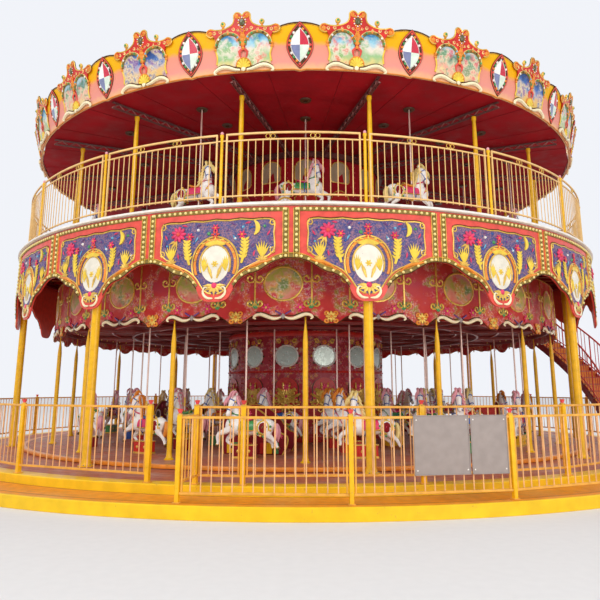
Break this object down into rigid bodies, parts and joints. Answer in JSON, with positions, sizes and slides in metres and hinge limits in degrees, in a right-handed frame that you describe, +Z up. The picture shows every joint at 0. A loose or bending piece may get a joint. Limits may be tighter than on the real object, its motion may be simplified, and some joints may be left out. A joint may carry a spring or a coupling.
{
  "type": "double-deck fairground carousel",
  "caption": "Turning two-deck carousel with galloping horses under a crowned canopy, inside a round fenced station with a ring balcony on pillars and a curved stair.",
  "frame": {"origin": "on the ground at the turning axis, at the middle of the station's underside", "axes": "+Z up along the turning axis, -Y towards the entrance side, +X to the right of a visitor there"},
  "size_m": [18.2, 18.2, 10.4003],
  "materials": {
    "deck_paint": "worn satin",
    "yellow_paint": "gloss",
    "gold_paint": "gloss",
    "crimson_paint": "satin",
    "red_paint": "satin",
    "truss_paint": "satin",
    "board_metal": "brushed",
    "relief_paint": "gloss",
    "crown_paint": "gloss",
    "cream_gloss": "gloss",
    "figure_gloss": "gloss"
  },
  "bodies": {
    "station": {"station_floor": "deck_paint", "station_step": "deck_paint", "inner_fence_east": "yellow_paint", "inner_fence_west": "yellow_paint", "outer_fence": "yellow_paint", "notice_board_1": "board_metal", "notice_board_2": "board_metal", "balcony_frame": "yellow_paint", "balcony_floor": "crimson_paint", "balcony_fascia": "relief_paint", "balcony_railing": "gold_paint", "stair_flight": "crimson_paint", "stair_rail_inner": "red_paint", "stair_rail_outer": "red_paint"},
    "carousel": {"turntable": "deck_paint", "lower_core": "crimson_paint", "lower_frame": "yellow_paint", "lower_ceiling": "crimson_paint", "lower_crown": "crown_paint", "lower_standing_horses": "figure_gloss", "lower_chariot_1": "cream_gloss", "lower_chariot_2": "cream_gloss", "lower_chariot_3": "cream_gloss", "lower_chariot_4": "cream_gloss", "upper_deck": "cream_gloss", "upper_core": "crimson_paint", "upper_frame": "gold_paint", "canopy_trusses": "truss_paint", "canopy_soffit": "crimson_paint", "crown_valance": "crown_paint", "canopy_roof": "red_paint", "roof_finial": "gold_paint"},
    "lower_horse_1": {"lower_horse_1": "figure_gloss"},
    "lower_horse_2": {"lower_horse_2": "figure_gloss"},
    "lower_horse_3": {"lower_horse_3": "figure_gloss"},
    "lower_horse_4": {"lower_horse_4": "figure_gloss"},
    "lower_horse_5": {"lower_horse_5": "figure_gloss"},
    "lower_horse_6": {"lower_horse_6": "figure_gloss"},
    "lower_horse_7": {"lower_horse_7": "figure_gloss"},
    "lower_horse_8": {"lower_horse_8": "figure_gloss"},
    "lower_horse_9": {"lower_horse_9": "figure_gloss"},
    "lower_horse_10": {"lower_horse_10": "figure_gloss"},
    "lower_horse_11": {"lower_horse_11": "figure_gloss"},
    "lower_horse_12": {"lower_horse_12": "figure_gloss"},
    "upper_horse_1": {"upper_horse_1": "figure_gloss"},
    "upper_horse_2": {"upper_horse_2": "figure_gloss"},
    "upper_horse_3": {"upper_horse_3": "figure_gloss"},
    "upper_horse_4": {"upper_horse_4": "figure_gloss"},
    "upper_horse_5": {"upper_horse_5": "figure_gloss"},
    "upper_horse_6": {"upper_horse_6": "figure_gloss"},
    "upper_horse_7": {"upper_horse_7": "figure_gloss"},
    "upper_horse_8": {"upper_horse_8": "figure_gloss"},
    "upper_horse_9": {"upper_horse_9": "figure_gloss"},
    "upper_horse_10": {"upper_horse_10": "figure_gloss"},
    "upper_horse_11": {"upper_horse_11": "figure_gloss"},
    "upper_horse_12": {"upper_horse_12": "figure_gloss"}
  },
  "joints": [
    {"name": "carousel_spin", "type": "hinge", "parent": "station", "child": "carousel", "pos_m": [0, 0, 0.31], "axis": [0, 0, 1], "continuous": true},
    {"name": "lower_horse_1_slide", "type": "slide", "parent": "carousel", "child": "lower_horse_1", "axis": [0, 0, 1], "range_m": [-0.055, 0.165]},
    {"name": "lower_horse_2_slide", "type": "slide", "parent": "carousel", "child": "lower_horse_2", "axis": [0, 0, 1], "range_m": [-0.055, 0.165]},
    {"name": "lower_horse_3_slide", "type": "slide", "parent": "carousel", "child": "lower_horse_3", "axis": [0, 0, 1], "range_m": [-0.055, 0.165]},
    {"name": "lower_horse_4_slide", "type": "slide", "parent": "carousel", "child": "lower_horse_4", "axis": [0, 0, 1], "range_m": [-0.055, 0.165]},
    {"name": "lower_horse_5_slide", "type": "slide", "parent": "carousel", "child": "lower_horse_5", "axis": [0, 0, 1], "range_m": [-0.055, 0.165]},
    {"name": "lower_horse_6_slide", "type": "slide", "parent": "carousel", "child": "lower_horse_6", "axis": [0, 0, 1], "range_m": [-0.055, 0.165]},
    {"name": "lower_horse_7_slide", "type": "slide", "parent": "carousel", "child": "lower_horse_7", "axis": [0, 0, 1], "range_m": [-0.055, 0.165]},
    {"name": "lower_horse_8_slide", "type": "slide", "parent": "carousel", "child": "lower_horse_8", "axis": [0, 0, 1], "range_m": [-0.055, 0.165]},
    {"name": "lower_horse_9_slide", "type": "slide", "parent": "carousel", "child": "lower_horse_9", "axis": [0, 0, 1], "range_m": [-0.055, 0.165]},
    {"name": "lower_horse_10_slide", "type": "slide", "parent": "carousel", "child": "lower_horse_10", "axis": [0, 0, 1], "range_m": [-0.055, 0.165]},
    {"name": "lower_horse_11_slide", "type": "slide", "parent": "carousel", "child": "lower_horse_11", "axis": [0, 0, 1], "range_m": [-0.055, 0.165]},
    {"name": "lower_horse_12_slide", "type": "slide", "parent": "carousel", "child": "lower_horse_12", "axis": [0, 0, 1], "range_m": [-0.055, 0.165]},
    {"name": "upper_horse_1_slide", "type": "slide", "parent": "carousel", "child": "upper_horse_1", "axis": [0, 0, 1], "range_m": [-0.055, 0.165]},
    {"name": "upper_horse_2_slide", "type": "slide", "parent": "carousel", "child": "upper_horse_2", "axis": [0, 0, 1], "range_m": [-0.055, 0.165]},
    {"name": "upper_horse_3_slide", "type": "slide", "parent": "carousel", "child": "upper_horse_3", "axis": [0, 0, 1], "range_m": [-0.055, 0.165]},
    {"name": "upper_horse_4_slide", "type": "slide", "parent": "carousel", "child": "upper_horse_4", "axis": [0, 0, 1], "range_m": [-0.055, 0.165]},
    {"name": "upper_horse_5_slide", "type": "slide", "parent": "carousel", "child": "upper_horse_5", "axis": [0, 0, 1], "range_m": [-0.055, 0.165]},
    {"name": "upper_horse_6_slide", "type": "slide", "parent": "carousel", "child": "upper_horse_6", "axis": [0, 0, 1], "range_m": [-0.055, 0.165]},
    {"name": "upper_horse_7_slide", "type": "slide", "parent": "carousel", "child": "upper_horse_7", "axis": [0, 0, 1], "range_m": [-0.055, 0.165]},
    {"name": "upper_horse_8_slide", "type": "slide", "parent": "carousel", "child": "upper_horse_8", "axis": [0, 0, 1], "range_m": [-0.055, 0.165]},
    {"name": "upper_horse_9_slide", "type": "slide", "parent": "carousel", "child": "upper_horse_9", "axis": [0, 0, 1], "range_m": [-0.165, 0.055]},
    {"name": "upper_horse_10_slide", "type": "slide", "parent": "carousel", "child": "upper_horse_10", "axis": [0, 0, 1], "range_m": [-0.165, 0.055]},
    {"name": "upper_horse_11_slide", "type": "slide", "parent": "carousel", "child": "upper_horse_11", "axis": [0, 0, 1], "range_m": [-0.165, 0.055]},
    {"name": "upper_horse_12_slide", "type": "slide", "parent": "carousel", "child": "upper_horse_12", "axis": [0, 0, 1], "range_m": [-0.165, 0.055]}
  ],
  "couplings": [
    {"joint": "lower_horse_2_slide", "follows": "lower_horse_1_slide", "ratio": 1},
    {"joint": "lower_horse_3_slide", "follows": "lower_horse_1_slide", "ratio": 1},
    {"joint": "lower_horse_4_slide", "follows": "lower_horse_1_slide", "ratio": 1},
    {"joint": "lower_horse_5_slide", "follows": "lower_horse_1_slide", "ratio": 1},
    {"joint": "lower_horse_6_slide", "follows": "lower_horse_1_slide", "ratio": 1},
    {"joint": "lower_horse_7_slide", "follows": "lower_horse_1_slide", "ratio": 1},
    {"joint": "lower_horse_8_slide", "follows": "lower_horse_1_slide", "ratio": 1},
    {"joint": "lower_horse_9_slide", "follows": "lower_horse_1_slide", "ratio": 1},
    {"joint": "lower_horse_10_slide", "follows": "lower_horse_1_slide", "ratio": 1},
    {"joint": "lower_horse_11_slide", "follows": "lower_horse_1_slide", "ratio": 1},
    {"joint": "lower_horse_12_slide", "follows": "lower_horse_1_slide", "ratio": 1},
    {"joint": "upper_horse_1_slide", "follows": "lower_horse_1_slide", "ratio": 1},
    {"joint": "upper_horse_2_slide", "follows": "lower_horse_1_slide", "ratio": 1},
    {"joint": "upper_horse_3_slide", "follows": "lower_horse_1_slide", "ratio": 1},
    {"joint": "upper_horse_4_slide", "follows": "lower_horse_1_slide", "ratio": 1},
    {"joint": "upper_horse_5_slide", "follows": "lower_horse_1_slide", "ratio": 1},
    {"joint": "upper_horse_6_slide", "follows": "lower_horse_1_slide", "ratio": 1},
    {"joint": "upper_horse_7_slide", "follows": "lower_horse_1_slide", "ratio": 1},
    {"joint": "upper_horse_8_slide", "follows": "lower_horse_1_slide", "ratio": 1},
    {"joint": "upper_horse_9_slide", "follows": "lower_horse_1_slide", "ratio": -1},
    {"joint": "upper_horse_10_slide", "follows": "lower_horse_1_slide", "ratio": -1},
    {"joint": "upper_horse_11_slide", "follows": "lower_horse_1_slide", "ratio": -1},
    {"joint": "upper_horse_12_slide", "follows": "lower_horse_1_slide", "ratio": -1}
  ]
}
